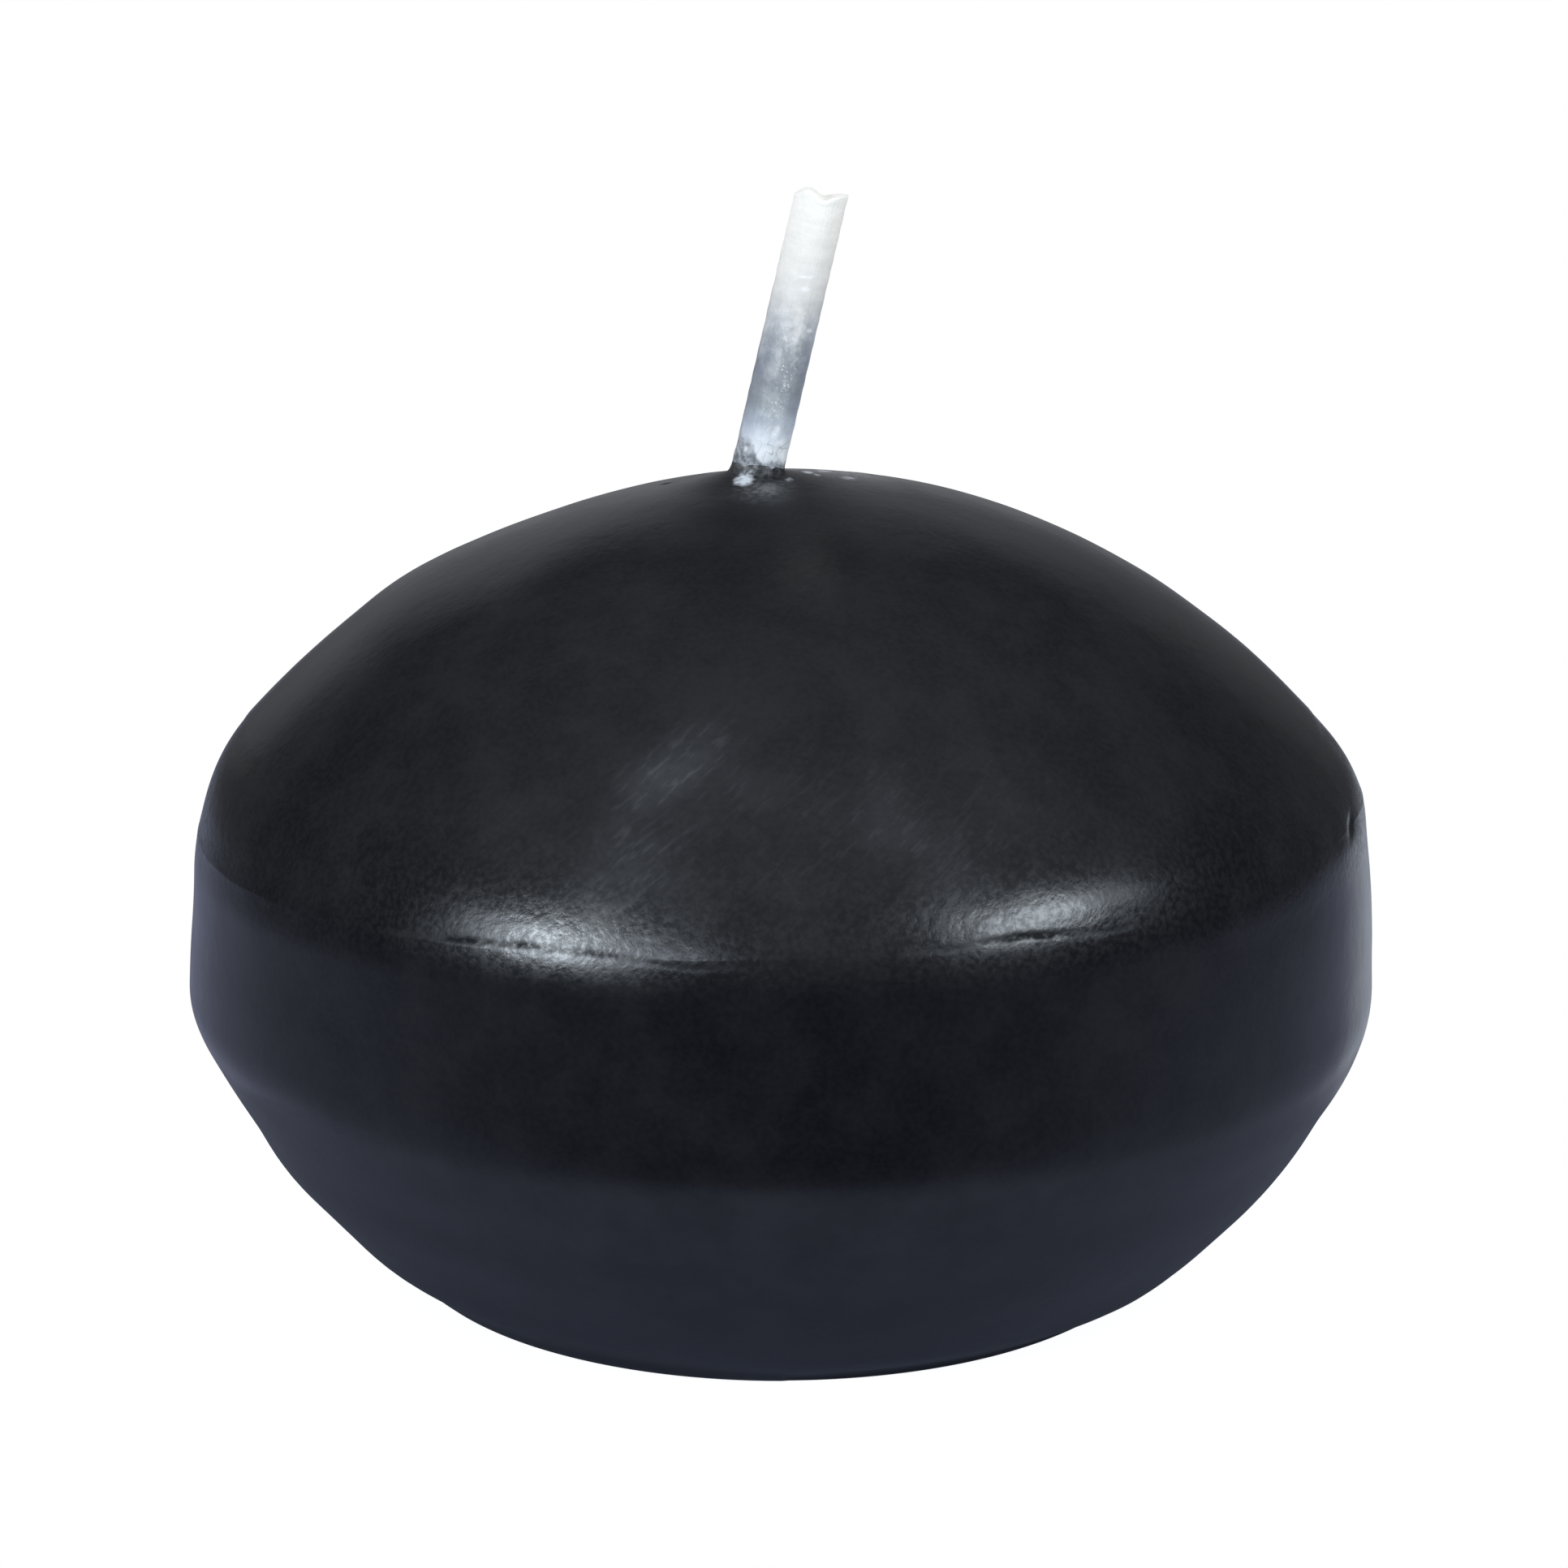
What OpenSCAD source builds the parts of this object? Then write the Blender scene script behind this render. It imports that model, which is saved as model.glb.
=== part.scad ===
// Floating candle: a wax body moulded in two halves, with a tabbed cotton wick.
// Millimetres. +Z is up, the origin is the centre of the flat base, and the wick leans towards +X.

/* [Bowl and band] */
// Diameter of the flat base, before its edge is rounded
base_d = 48; // [40:1:54]
// Rounding at the edge of the base
base_edge_r = 1.5; // [0.5:0.25:3]
// Diameter where the bowl meets the band, before that corner is rounded
corner_d = 76; // [70:1:86]
// Height of that corner above the base
corner_z = 18.2; // [14:0.2:22]
// Rounding of that corner
corner_r = 6.5; // [3:0.5:8]
// Bulge of the bowl's side beyond a straight line from base to corner
bowl_bulge = 1.9; // [1.2:0.1:3]
// Inward slope of the band in degrees, which lets it leave the mould
band_draft = 4; // [2:0.5:6]

/* [Dome] */
// Height of the wax body on its axis
body_h = 51; // [47:0.5:58]
// Radius of the shoulder above the band
shoulder_r = 14.5; // [11:0.5:17]
// Slope of the shoulder in degrees where it leaves the seam
shoulder_slope = 18.4; // [14:0.2:24]

/* [Seam of the mould] */
// Height of the seam between band and dome, on the axis
seam_z = 30.3; // [28.5:0.1:32]
// Tilt of the seam in degrees, with its low side at -X
seam_tilt = 1.75; // [0.25:0.25:2.5]
// Radius of the seam groove's round section
groove_r = 0.3; // [0.2:0.05:0.5]
// Depth of the seam groove
groove_depth = 0.2; // [0.1:0.05:0.3]

/* [Wick] */
// Diameter of the waxed braid
wick_d = 3.3; // [2:0.1:4.5]
// Distance of the wick from the axis, towards -X
wick_offset = 1.4; // [0:0.1:3]
// Length of wick that stands out of the wax
wick_out = 18.6; // [8:0.2:30]
// Lean of the standing length in degrees
wick_lean = 12.6; // [5:0.2:25]
// Radius of the bend where the wick leaves the wax
bend_r = 4; // [3:0.5:8]
// Extra wax on the bend, over the wick's own diameter
bend_coat = 0.05; // [0.03:0.01:0.1]
// Radius of the nick in the cut end
nick_r = 1.1; // [0.6:0.1:2]
// Depth of the nick
nick_depth = 0.35; // [0.1:0.05:0.5]
// Distance of the nick from the middle of the end, towards +X
nick_offset = 0.4; // [0:0.1:1]
// Gap between the wick and the wax cast round it
wick_gap = 0.03; // [0.02:0.01:0.1]
// Radius of the hollow wax collar drawn up round the wick
collar_r = 0.9; // [0.7:0.1:1.5]
// Height of the collar above its own rim
collar_h = 0.35; // [0.2:0.05:0.45]
// Depth that the collar's rim lies below the crown
collar_sink = 0.06; // [0.04:0.01:0.15]

/* [Sustainer] */
// Diameter of the tab
tab_d = 14; // [10:0.5:20]
// Thickness of the tinned sheet
sheet_t = 0.3; // [0.2:0.05:0.4]
// Depth of the recess in the base that holds the tab
recess_depth = 0.9; // [0.6:0.1:1.5]
// Gap round the rim of the tab
tab_gap = 0.3; // [0.1:0.05:0.6]
// Height of the neck above the tab
neck_h = 4; // [3:0.25:7]
// Gap round the neck
neck_gap = 0.1; // [0.05:0.05:0.3]
// Gap between the neck and the wick that it grips
grip_gap = 0.02; // [0.01:0.01:0.05]
// Radius of the round foot where the neck rises from the tab
foot_r = 0.5; // [0.3:0.1:0.8]
// Radius of the tool that crimps the neck
crimp_r = 0.8; // [0.5:0.1:1.2]
// Depth of each crimp
crimp_depth = 0.15; // [0.05:0.05:0.15]

/* [Hidden] */
$fn = 128;

// Sections lie in [radius, height] and are revolved round the axis.
function unit(a) = [cos(a), sin(a)];
function angle_to(p, q) = atan2(q.y - p.y, q.x - p.x);

// Bowl: an arc from the edge of the base to the corner, given by its bulge
base_edge = [base_d / 2, 0];
corner = [corner_d / 2, corner_z];
chord = norm(corner - base_edge);
chord_out = [corner.y - base_edge.y, base_edge.x - corner.x] / chord;
bowl_r = (chord * chord / 4 + bowl_bulge * bowl_bulge) / (2 * bowl_bulge);
bowl_c = (base_edge + corner) / 2 - chord_out * (bowl_r - bowl_bulge);

// Base edge: touches the base and the inside of the bowl's arc
edge_reach = bowl_r - base_edge_r;
edge_drop = bowl_c.y - base_edge_r;
edge_c = [bowl_c.x + sqrt(edge_reach * edge_reach - edge_drop * edge_drop), base_edge_r];

// Corner rounding: touches the band's line and the inside of the bowl's arc
band_up = [-sin(band_draft), cos(band_draft)];
inset_c = corner - corner_r * unit(band_draft);
inset = inset_c - bowl_c;
corner_reach = bowl_r - corner_r;
along = -inset * band_up - sqrt(pow(inset * band_up, 2) - inset * inset + corner_reach * corner_reach);
corner_c = inset_c + along * band_up;

// Dome: the shoulder leaves the seam at its own slope, and the crown touches it and ends on the axis
seam = [corner.x - (seam_z - corner.y) * tan(band_draft), seam_z];
shoulder_c = seam - shoulder_r * unit(shoulder_slope);
rise = body_h - shoulder_c.y;
crown_r = (pow(shoulder_c.x, 2) + rise * rise - shoulder_r * shoulder_r) / (2 * (rise - shoulder_r));
crown_c = [0, body_h - crown_r];

// A sideways shift of the dome's half of the mould is what tilts the seam
seam_rise = seam.x * sin(seam_tilt);
mould_shift = seam_rise * (tan(shoulder_slope) - tan(band_draft));
seam_offset = -seam_rise * tan(band_draft);

// Wick and what seats on it
wick_x = -wick_offset;
tab_z = recess_depth - sheet_t;
neck_bore = wick_d / 2 + grip_gap;
neck_r = neck_bore + sheet_t;
collar_out = wick_d / 2 + collar_r;
collar_z = body_h - pow(wick_offset + mould_shift + collar_out, 2) / (2 * crown_r) - collar_sink;
bend_z = body_h;
bend_top = [wick_x + bend_r * (1 - cos(wick_lean)), 0, bend_z + bend_r * sin(wick_lean)];
straight_l = wick_out - PI * bend_r * wick_lean / 180;
lap = 0.2;

// Part of a disc between its rim at angles a0 and a1 and a point on the axis at height z
module slice(c, r, a0, a1, z) {
    apex = [0, z];
    intersection() {
        translate(c) circle(r = r);
        polygon([apex, apex + 3 * (c + r * unit(a0) - apex), apex + 3 * (c + r * unit(a1) - apex)]);
    }
}

// Lower half of the mould: base, bowl and drafted band, open upwards
module bowl_half() {
    edge_a = angle_to(bowl_c, edge_c);
    corner_a = angle_to(bowl_c, corner_c);
    top = body_h + 2;
    rotate_extrude() {
        polygon([
            [0, 0],
            [edge_c.x, 0],
            edge_c + base_edge_r * unit(edge_a),
            corner_c + corner_r * unit(corner_a),
            corner_c + corner_r * unit(band_draft),
            [corner.x - (top - corner.y) * tan(band_draft), top],
            [0, top]
        ]);
        slice(edge_c, base_edge_r, -90, edge_a, corner.y);
        slice(bowl_c, bowl_r, edge_a, corner_a, corner.y);
        slice(corner_c, corner_r, corner_a, band_draft, corner.y);
    }
}

// Upper half of the mould: shoulder and crown, open downwards
module dome_half() {
    crown_a = angle_to(crown_c, shoulder_c);
    translate([mould_shift, 0, 0]) rotate_extrude() {
        polygon([
            [0, -1],
            [corner_d, -1],
            [corner_d, shoulder_c.y],
            shoulder_c + [shoulder_r, 0],
            shoulder_c + shoulder_r * unit(crown_a),
            [0, body_h]
        ]);
        slice(shoulder_c, shoulder_r, 0, crown_a, shoulder_c.y);
        slice(crown_c, crown_r, crown_a, 90, shoulder_c.y);
    }
}

// Groove that the tilted seam leaves round the candle
module seam_groove() {
    ring_r = seam.x + groove_r - groove_depth;
    translate([seam_offset, 0, seam_z]) rotate([0, -seam_tilt, 0])
        rotate_extrude() translate([ring_r, 0]) circle(r = groove_r, $fn = 48);
}

// Collar of wax that climbs the wick, hollow in section
module wick_collar() {
    depth = 2 * collar_r;
    translate([wick_x, 0, collar_z]) rotate_extrude() difference() {
        translate([0, -depth]) square([collar_out, depth + collar_h]);
        translate([collar_out, collar_r]) circle(r = collar_r, $fn = 64);
    }
}

// The wick's course: up through the wax, a short coated bend, and a straight leaning length.
// The straight lengths run a little way into the bend.
module wick_course(d) {
    translate([wick_x, 0, tab_z]) cylinder(h = bend_z + lap - tab_z, d = d);
    translate([wick_x + bend_r, 0, bend_z]) rotate([90, 0, 0])
        rotate_extrude(angle = wick_lean, start = 180 - wick_lean)
            translate([bend_r, 0]) circle(d = d + 2 * bend_coat);
    translate(bend_top) rotate([0, wick_lean, 0])
        translate([0, 0, -lap]) cylinder(h = straight_l + lap, d = d);
}

// Space in the base for the tab and its neck
module sustainer_space() {
    neck_space = neck_r + neck_gap;
    foot_space = foot_r + neck_gap;
    translate([wick_x, 0, -1]) cylinder(h = recess_depth + 1, d = tab_d + 2 * tab_gap);
    translate([wick_x, 0, 0]) cylinder(h = recess_depth + neck_h + neck_gap, r = neck_space);
    translate([wick_x, 0, recess_depth]) cylinder(h = foot_space, r1 = neck_space + foot_space, r2 = neck_space);
}

module wax_body() {
    color([0.11, 0.115, 0.13]) difference() {
        union() {
            intersection() {
                bowl_half();
                dome_half();
            }
            wick_collar();
        }
        seam_groove();
        sustainer_space();
        wick_course(wick_d + 2 * wick_gap);
    }
}

module wick() {
    color([0.86, 0.88, 0.87]) difference() {
        wick_course(wick_d);
        translate(bend_top) rotate([0, wick_lean, 0])
            translate([nick_offset, 0, straight_l + nick_r - nick_depth])
                rotate([90, 0, 0]) cylinder(h = 2 * wick_d, r = nick_r, center = true);
    }
}

// Half section of the pressed sheet: tab, neck and the round foot between them
module sustainer_section() {
    foot = neck_r + foot_r;
    difference() {
        union() {
            square([tab_d / 2, sheet_t]);
            square([neck_r, sheet_t + neck_h]);
            difference() {
                square([foot, sheet_t + foot_r]);
                translate([foot, sheet_t + foot_r]) circle(r = foot_r, $fn = 48);
            }
        }
        translate([0, -1]) square([neck_bore, sheet_t + neck_h + 2]);
    }
}

module wick_sustainer() {
    crimp_at = neck_r + crimp_r - crimp_depth;
    color([0.75, 0.76, 0.78]) translate([wick_x, 0, tab_z]) difference() {
        rotate_extrude() sustainer_section();
        for (side = [-1, 1])
            translate([side * crimp_at, 0, sheet_t + neck_h / 2])
                rotate([90, 0, 0]) cylinder(h = 3 * neck_r, r = crimp_r, center = true, $fn = 48);
    }
}

wax_body();
wick();
wick_sustainer();
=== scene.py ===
import math

import bmesh
import bpy
from mathutils import Matrix, Vector, noise


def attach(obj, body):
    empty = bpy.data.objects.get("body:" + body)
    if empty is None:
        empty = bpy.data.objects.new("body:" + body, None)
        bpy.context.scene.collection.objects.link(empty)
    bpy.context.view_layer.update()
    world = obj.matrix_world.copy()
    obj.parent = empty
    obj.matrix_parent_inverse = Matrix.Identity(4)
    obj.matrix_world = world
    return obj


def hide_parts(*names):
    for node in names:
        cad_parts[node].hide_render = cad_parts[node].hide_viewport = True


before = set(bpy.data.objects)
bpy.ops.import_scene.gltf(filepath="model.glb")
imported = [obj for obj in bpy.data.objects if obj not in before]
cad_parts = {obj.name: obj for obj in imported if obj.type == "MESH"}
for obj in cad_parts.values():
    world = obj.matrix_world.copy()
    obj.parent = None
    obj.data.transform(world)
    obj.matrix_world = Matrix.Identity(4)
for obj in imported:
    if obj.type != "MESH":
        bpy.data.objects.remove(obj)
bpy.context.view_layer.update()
print("frame loaded:", ", ".join(sorted(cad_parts)))

mm = 0.001


def smooth(value, low, high):
    share = min(max((value - low) / (high - low), 0.0), 1.0)
    return share * share * (3 - 2 * share)


def bell(distance, width):
    return math.exp(-(distance / width) ** 2)


def ripple(point, size, shift=0.0):
    # smooth noise between about -1 and 1; size is the length of one ripple in mm
    return noise.noise(Vector(point) / size + Vector((shift, 2.7 * shift, 5.1)))


def ripples(point, waves):
    # the sum of ripples given as (height, size, shift)
    return sum(height * ripple(point, size, shift) for height, size, shift in waves)


def arcPoints(centre, radius, start, end, count):
    points = []
    for k in range(count + 1):
        angle = math.radians(start + (end - start) * k / count)
        points.append((centre[0] + radius * math.cos(angle), centre[1] + radius * math.sin(angle)))
    return points


def linePoints(start, end, count):
    return [(start[0] + (end[0] - start[0]) * k / count, start[1] + (end[1] - start[1]) * k / count)
            for k in range(count + 1)]


def readTable(table, value):
    # a smooth curve through the rows (value, result) of a table in rising order
    if value <= table[0][0]:
        return table[0][1]
    if value >= table[-1][0]:
        return table[-1][1]
    k = next(i for i in range(1, len(table)) if value <= table[i][0]) - 1
    (x0, y0), (x1, y1) = table[k], table[k + 1]
    before, after = table[max(k - 1, 0)], table[min(k + 2, len(table) - 1)]
    slope0 = (y1 - before[1]) / (x1 - before[0])
    slope1 = (after[1] - y0) / (after[0] - x0)
    width = x1 - x0
    t = (value - x0) / width
    return (y0 * (1 + 2 * t) * (1 - t) ** 2 + y1 * t * t * (3 - 2 * t)
            + width * (slope0 * t * (1 - t) ** 2 - slope1 * t * t * (1 - t)))


def finishPiece(bm, name, node, material):
    bmesh.ops.recalc_face_normals(bm, faces=bm.faces)
    bmesh.ops.scale(bm, vec=(mm, mm, mm), verts=bm.verts)
    mesh = bpy.data.meshes.new(name)
    bm.to_mesh(mesh)
    bm.free()
    for face in mesh.polygons:
        face.use_smooth = True
    piece = bpy.data.objects.new(name, mesh)
    bpy.context.scene.collection.objects.link(piece)
    mesh.materials.append(material)
    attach(piece, "root")
    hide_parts(node)
    print(name, "made:", sum(len(face.vertices) - 2 for face in mesh.polygons), "triangles")


def addNode(tree, kind, inputs=None, **settings):
    made = tree.nodes.new(kind)
    for key, value in settings.items():
        setattr(made, key, value)
    for key, value in (inputs or {}).items():
        socket = made.inputs[key]
        if isinstance(value, bpy.types.NodeSocket):
            tree.links.new(value, socket)
        else:
            socket.default_value = value
    return made


def newMaterial(name):
    material = bpy.data.materials.new(name)
    material.use_nodes = True
    tree = material.node_tree
    tree.nodes.clear()
    shader = addNode(tree, "ShaderNodeBsdfPrincipled")
    output = addNode(tree, "ShaderNodeOutputMaterial")
    tree.links.new(shader.outputs[0], output.inputs["Surface"])
    return material, tree, shader


def maths(tree, operation, first, second=0.5, clamp=False):
    return addNode(tree, "ShaderNodeMath", {0: first, 1: second}, operation=operation, use_clamp=clamp).outputs[0]


def times(tree, first, second, clamp=False):
    return maths(tree, "MULTIPLY", first, second, clamp)


def plus(tree, first, second):
    return maths(tree, "ADD", first, second)


def minus(tree, first, second):
    return maths(tree, "SUBTRACT", first, second)


def ranged(tree, value, low, high, start=0.0, end=1.0):
    # moves smoothly from start to end while the value goes from low to high
    return addNode(tree, "ShaderNodeMapRange",
                   {"Value": value, "From Min": low, "From Max": high, "To Min": start, "To Max": end},
                   interpolation_type="SMOOTHSTEP").outputs["Result"]


def mixed(tree, factor, first, second):
    return addNode(tree, "ShaderNodeMix", {0: factor, 6: first, 7: second}, data_type="RGBA").outputs[2]


def placed(tree, source, centre=(0, 0, 0), size=(1, 1, 1), turn=(0, 0, 0)):
    # moves, turns and stretches a pattern; centre and size are in mm
    return addNode(tree, "ShaderNodeMapping",
                   {"Vector": source, "Location": [c * mm for c in centre], "Scale": [s * mm for s in size],
                    "Rotation": [math.radians(t) for t in turn]}, vector_type="TEXTURE").outputs[0]


def noisy(tree, source, size, detail=3.0, roughness=0.55, turn=(0, 0, 0)):
    # noise whose grain has the given size in mm along each axis
    vector = placed(tree, source, size=size, turn=turn)
    return addNode(tree, "ShaderNodeTexNoise",
                   {"Vector": vector, "Scale": 1.0, "Detail": detail, "Roughness": roughness}).outputs[0]


def softSpot(tree, source, centre, size, turn=(0, 0, 0)):
    # 1 in the middle of the spot and 0 at its rim
    vector = placed(tree, source, centre, size, turn)
    ball = addNode(tree, "ShaderNodeTexGradient", {"Vector": vector}, gradient_type="SPHERICAL").outputs[1]
    return ranged(tree, ball, 0.0, 1.0)


def joinedSpots(tree, source, spots, operation):
    # joins soft spots given as (centre and size in mm, turn in degrees, strength)
    joined = None
    for centre, size, turn, strength in spots:
        spot = times(tree, softSpot(tree, source, centre, size, (0, turn, 0)), strength)
        joined = spot if joined is None else maths(tree, operation, joined, spot)
    return joined


def addBump(tree, shader, relief, strength, depth):
    bump = addNode(tree, "ShaderNodeBump", {"Strength": strength, "Distance": depth, "Height": relief})
    tree.links.new(bump.outputs[0], shader.inputs["Normal"])


wax = {
    "domeColour": (0.0030, 0.0033, 0.0044, 1),
    # the band's and the bowl's bluer tint, and the bowl's paler colour and clouds, are partly painted light: bluish
    # light reflected from the floor below
    "bandColour": (0.0026, 0.0030, 0.0048, 1),
    "bowlColourAndFloorLight": (0.0090, 0.0095, 0.0138, 1), "bowlCloud": (0.0240, 0.0252, 0.0352, 1),
    "cloudColour": (0.0150, 0.0158, 0.0185, 1),
    # painted sheen for the haze and the bloom, and painted glints for the specks
    "scuffSheenColour": (0.062, 0.067, 0.077, 1),
    "bloomAndSheenColour": (0.200, 0.207, 0.220, 1),
    "glintColour": (0.55, 0.60, 0.66, 1),
    # how much clouds and grain show on the dome and the bowl, and the share of that on the band
    "cloudShare": 0.4, "grainShare": 0.22, "bandShare": 0.6,
    "roughness": 0.21, "hazeRoughness": 0.40, "bowlRoughness": 0.33, "footRoughness": 0.55,
    "ior": 1.44, "gloss": 0.5,
    # how much duller the foot of the wick and the seam's line are, and how much rougher the line is
    "footDulling": 0.34, "lineDulling": 0.75, "lineRoughening": 0.30,
    # heights in m where each zone starts and where it is full
    "domeZone": (0.0285, 0.0325), "bowlZone": (0.0178, 0.0158), "shoulderZone": (0.0400, 0.0330),
    "seamZone": (0.0275, 0.0295), "seamZoneTop": (0.0390, 0.0345),
    # grain of each pattern in mm along each axis
    "cloudSize": (4.5, 4.5, 4.5), "waveSize": (1.6, 1.6, 1.6), "grainSize": (0.35, 0.35, 0.35),
    "scratchSize": (1.8, 1.8, 0.28), "dappleSize": (0.70, 0.70, 0.42),
    "scratchAngle": -38,
    "dappleRelief": 0.75, "grainRelief": (0.40, 0.58), "ruffledRelief": 5.0,
    "bumpStrength": 0.35, "bumpDepth": 0.00005,
    # dull wax in front of the wick and ruffled wax round it: centre and size in mm
    "dullSpot": ((-1.2, -9.0, 49.5), (7.5, 17.0, 9.0)),
    "ruffledSpot": ((0.4, 1.2, 51.2), (6.5, 6.5, 2.4)),
    # haze and scuffs, rougher wax with a paler painted sheen: centre and size in mm, turn in degrees, strength
    "haze": [
        ((-6.0, -30.0, 39.5), (4.6, 7.5, 2.0), -34, 0.62),
        ((-6.1, -30.0, 39.0), (8.0, 9.0, 4.4), -30, 0.19),
        ((-9.2, -33.7, 34.6), (6.5, 7.0, 3.6), -8, 0.45),
        ((7.6, -31.9, 36.8), (11.0, 10.0, 6.0), 4, 0.14),
        ((0.0, -33.0, 36.0), (26.0, 14.0, 8.5), 0, 0.17),
        ((-17.0, -8.0, 46.5), (10.0, 9.0, 4.0), 20, 0.15),
    ],
    # painted glints: pale specks round the foot of the wick, where bumps of wax catch light, given as the haze is
    "specks": [
        ((-2.41, -2.33, 51.26), (1.05, 1.4, 1.25), 0, 1.0),
        ((-2.5, -1.75, 52.1), (0.60, 0.8, 0.34), 0, 1.0),
        ((-1.97, -2.0, 51.7), (0.55, 0.7, 0.32), 0, 0.85),
        ((-0.55, -1.6, 51.95), (0.38, 0.6, 0.30), 0, 0.80),
        ((0.43, -1.7, 51.15), (0.55, 1.1, 0.25), 0, 0.50),
        ((1.62, 2.3, 50.95), (0.65, 1.8, 0.50), 0, 1.0),
        ((2.20, 1.2, 50.95), (0.45, 1.0, 0.30), 0, 0.60),
        ((2.70, 4.6, 50.70), (0.90, 1.8, 0.50), 0, 0.85),
        ((4.24, 1.2, 50.80), (1.10, 1.6, 0.35), 0, 0.50),
    ],
    # grey bloom and painted sheen on the collar, in front of it and on the right of it, where the wax catches light
    "bloomAndSheen": [
        ((-1.4, -0.8, 52.2), (2.9, 2.9, 1.7), 0, 1.0),
        ((-1.2, -3.8, 50.9), (3.2, 3.8, 1.6), 0, 0.50),
        ((3.8, 5.2, 50.7), (6.5, 5.5, 1.6), 0, 0.95),
    ],
}


def makeWaxMaterial():
    material, tree, shader = newMaterial("blackWax")
    place = addNode(tree, "ShaderNodeTexCoord").outputs["Object"]
    height = addNode(tree, "ShaderNodeSeparateXYZ", {0: place}).outputs[2]
    slant = (0, wax["scratchAngle"], 0)
    cloud = noisy(tree, place, wax["cloudSize"], 5.0, 0.62)
    grain = noisy(tree, place, wax["grainSize"])
    dapple = noisy(tree, place, wax["dappleSize"], 2.5, 0.5, slant)
    scratches = noisy(tree, place, wax["scratchSize"], 3.0, 0.6, slant)
    clouded = ranged(tree, cloud, 0.34, 0.72)

    dome = ranged(tree, height, *wax["domeZone"])
    bowl = ranged(tree, height, *wax["bowlZone"])
    aboveBand = ranged(tree, height, *wax["seamZone"])
    nearSeam = times(tree, aboveBand, ranged(tree, height, *wax["seamZoneTop"]))
    foot = softSpot(tree, place, *wax["dullSpot"])
    ruffled = softSpot(tree, place, *wax["ruffledSpot"])

    # grain and dapple break up the seam's line, which the mesh carries
    seamLine = addNode(tree, "ShaderNodeAttribute", attribute_name="seamLine").outputs["Fac"]
    seamLine = times(tree, seamLine, ranged(tree, grain, 0.30, 0.60, 0.60, 1.1))
    seamLine = times(tree, seamLine, ranged(tree, dapple, 0.36, 0.60, 0.45, 1.1), True)

    # fine scratches show in the haze
    haze = joinedSpots(tree, place, wax["haze"], "ADD")
    haze = times(tree, haze, ranged(tree, cloud, 0.35, 0.65, 0.65, 1.10))
    fineLines = ranged(tree, scratches, 0.48, 0.72)
    # scuffs and haze make the wax rougher and carry a painted sheen
    scuffsAndSheen = times(tree, haze, ranged(tree, fineLines, 0.0, 1.0, 0.5, 1.0), True)
    # the specks are painted glints
    specks = joinedSpots(tree, place, wax["specks"], "MAXIMUM")
    specks = ranged(tree, times(tree, specks, ranged(tree, grain, 0.3, 0.6, 0.6, 1.2)), 0.10, 0.90)
    # grey bloom with a painted sheen round the wick's foot
    bloomAndSheen = joinedSpots(tree, place, wax["bloomAndSheen"], "MAXIMUM")
    bloomAndSheen = times(tree, bloomAndSheen, ranged(tree, cloud, 0.38, 0.58, 0.35, 1.15))
    bloomAndSheen = times(tree, bloomAndSheen, ranged(tree, grain, 0.34, 0.62, 0.30, 1.05), True)

    # the band's and the bowl's colours partly paint in bluish light reflected from the floor
    colour = mixed(tree, dome, wax["bandColour"], wax["domeColour"])
    colour = mixed(tree, bowl, colour, wax["bowlColourAndFloorLight"])
    cloudTone = mixed(tree, bowl, wax["cloudColour"], wax["bowlCloud"])
    showing = ranged(tree, maths(tree, "MAXIMUM", dome, bowl), 0.0, 1.0, wax["bandShare"], 1.0)
    colour = mixed(tree, times(tree, clouded, times(tree, showing, wax["cloudShare"])), colour, cloudTone)
    speckled = times(tree, ranged(tree, grain, 0.35, 0.65, 0.0, wax["grainShare"]), showing)
    colour = mixed(tree, speckled, colour, wax["cloudColour"])
    # painted sheen on the haze and the bloom, painted glints on the specks
    for share, tone in ((scuffsAndSheen, "scuffSheenColour"), (bloomAndSheen, "bloomAndSheenColour"), (specks, "glintColour")):
        colour = mixed(tree, share, colour, wax[tone])
    tree.links.new(colour, shader.inputs["Base Color"])

    rough = plus(tree, times(tree, clouded, 0.05), wax["roughness"] - 0.02)
    for share, level in ((scuffsAndSheen, "hazeRoughness"), (bowl, "bowlRoughness"), (foot, "footRoughness")):
        rough = plus(tree, rough, times(tree, share, wax[level] - wax["roughness"]))
    rough = plus(tree, rough, ranged(tree, height, *wax["shoulderZone"], 0.0, 0.03))
    rough = plus(tree, rough, times(tree, seamLine, wax["lineRoughening"]))
    rough = plus(tree, rough, times(tree, nearSeam, ranged(tree, grain, 0.35, 0.65, -0.04, 0.05)))
    tree.links.new(rough, shader.inputs["Roughness"])
    shader.inputs["IOR"].default_value = wax["ior"]
    gloss = minus(tree, wax["gloss"], times(tree, foot, wax["footDulling"]))
    gloss = times(tree, gloss, minus(tree, 1.0, times(tree, seamLine, wax["lineDulling"])))
    tree.links.new(gloss, shader.inputs["Specular IOR Level"])

    relief = times(tree, times(tree, dapple, aboveBand), wax["dappleRelief"])
    relief = plus(tree, relief, times(tree, grain, ranged(tree, nearSeam, 0.0, 1.0, *wax["grainRelief"])))
    relief = plus(tree, relief, times(tree, times(tree, grain, ruffled), wax["ruffledRelief"]))
    relief = plus(tree, relief, noisy(tree, place, wax["waveSize"], 2.0))
    addBump(tree, shader, relief, wax["bumpStrength"], wax["bumpDepth"])
    return material


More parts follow.
